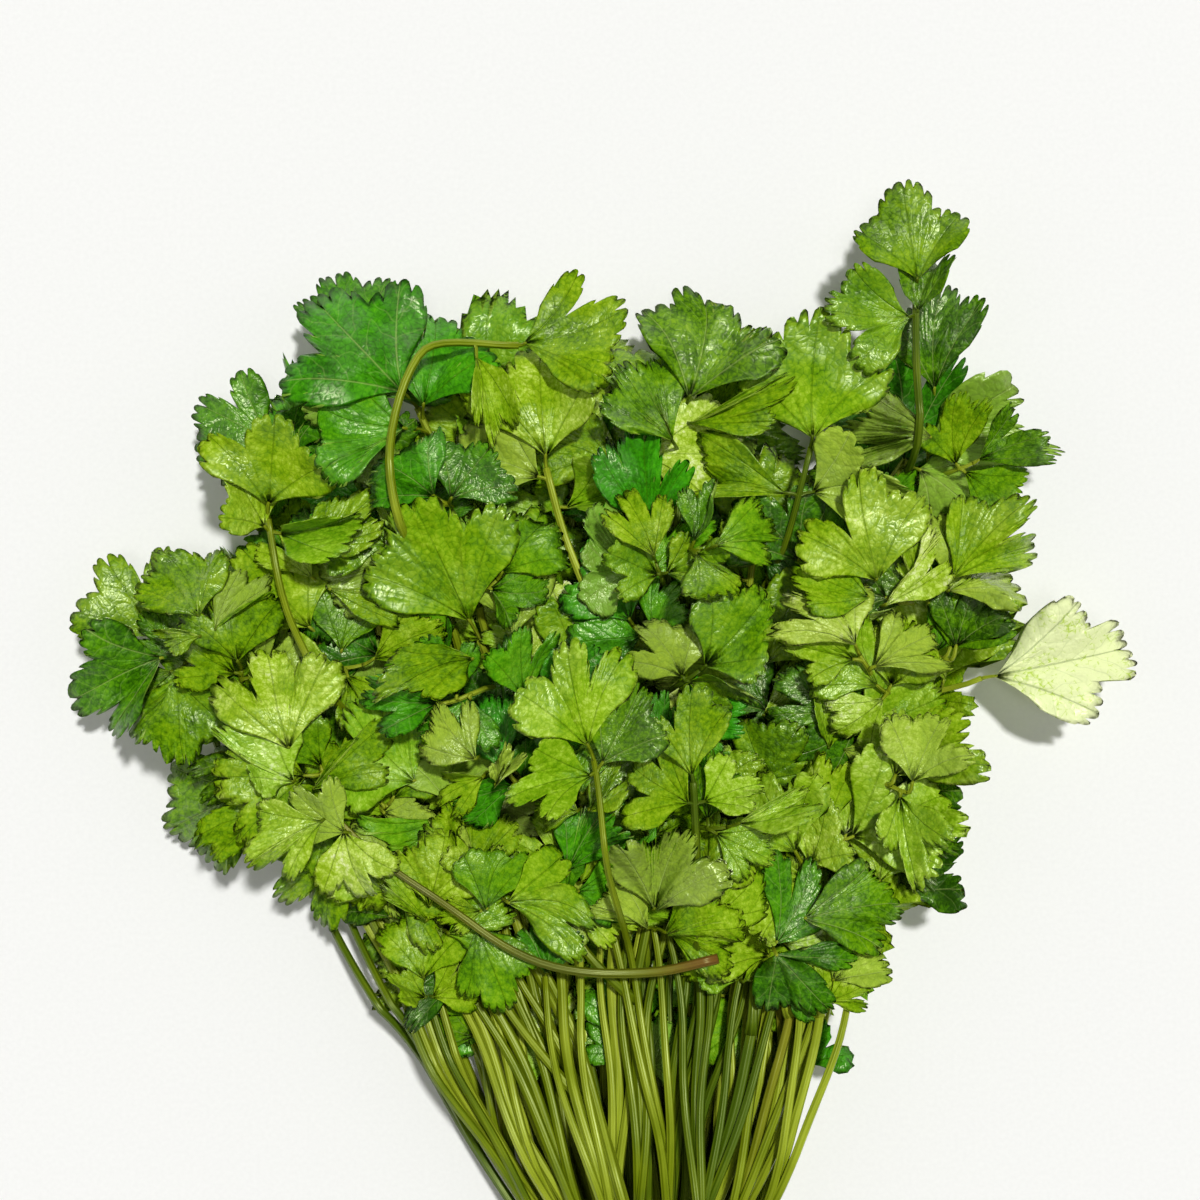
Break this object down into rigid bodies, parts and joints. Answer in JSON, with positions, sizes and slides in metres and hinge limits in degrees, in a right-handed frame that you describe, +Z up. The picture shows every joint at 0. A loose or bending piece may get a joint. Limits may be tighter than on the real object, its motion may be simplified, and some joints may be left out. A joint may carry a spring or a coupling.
{
  "type": "coriander bunch",
  "caption": "Bunch of fresh-cut coriander lying on its side, thin stems gathered in a rubber band, lobed toothed leaves fanned out.",
  "frame": {"origin": "on the surface that the bunch lies on, under the middle of the rubber band", "axes": "+Z up from the surface, +Y from the rubber band to the leaf tips, +X to the right when seen from above"},
  "size_m": [0.2606, 0.3381, 0.0499],
  "materials": {
    "leaf": "satin waxy leaf skin with fine veins",
    "stem": "smooth ribbed green stalk",
    "band": "dull stretched rubber"
  },
  "bodies": {
    "root": {"sprig_01": "leaf", "sprig_02": "leaf", "sprig_03": "leaf", "sprig_04": "leaf", "sprig_05": "leaf", "sprig_06": "leaf", "sprig_07": "leaf", "sprig_08": "leaf", "sprig_09": "leaf", "sprig_10": "leaf", "sprig_11": "leaf", "sprig_12": "leaf", "sprig_13": "leaf", "sprig_14": "leaf", "sprig_15": "leaf", "sprig_16": "leaf", "sprig_17": "leaf", "sprig_18": "leaf", "sprig_19": "leaf", "sprig_20": "leaf", "sprig_21": "leaf", "sprig_22": "leaf", "sprig_23": "leaf", "sprig_24": "leaf", "sprig_25": "leaf", "sprig_26": "leaf", "sprig_27": "leaf", "sprig_28": "leaf", "sprig_29": "leaf", "sprig_30": "leaf", "sprig_31": "leaf", "sprig_32": "leaf", "sprig_33": "leaf", "sprig_34": "leaf", "sprig_35": "leaf", "sprig_36": "leaf", "sprig_37": "leaf", "sprig_38": "leaf", "sprig_39": "leaf", "sprig_40": "leaf", "sprig_41": "leaf", "sprig_42": "leaf", "sprig_43": "leaf", "sprig_44": "leaf", "sprig_45": "leaf", "sprig_46": "leaf", "sprig_47": "leaf", "sprig_48": "leaf", "sprig_49": "leaf", "sprig_50": "leaf", "sprig_51": "leaf", "sprig_52": "leaf", "sprig_53": "leaf", "sprig_54": "leaf", "sprig_55": "leaf", "sprig_56": "leaf", "rubber_band": "band"}
  },
  "joints": []
}
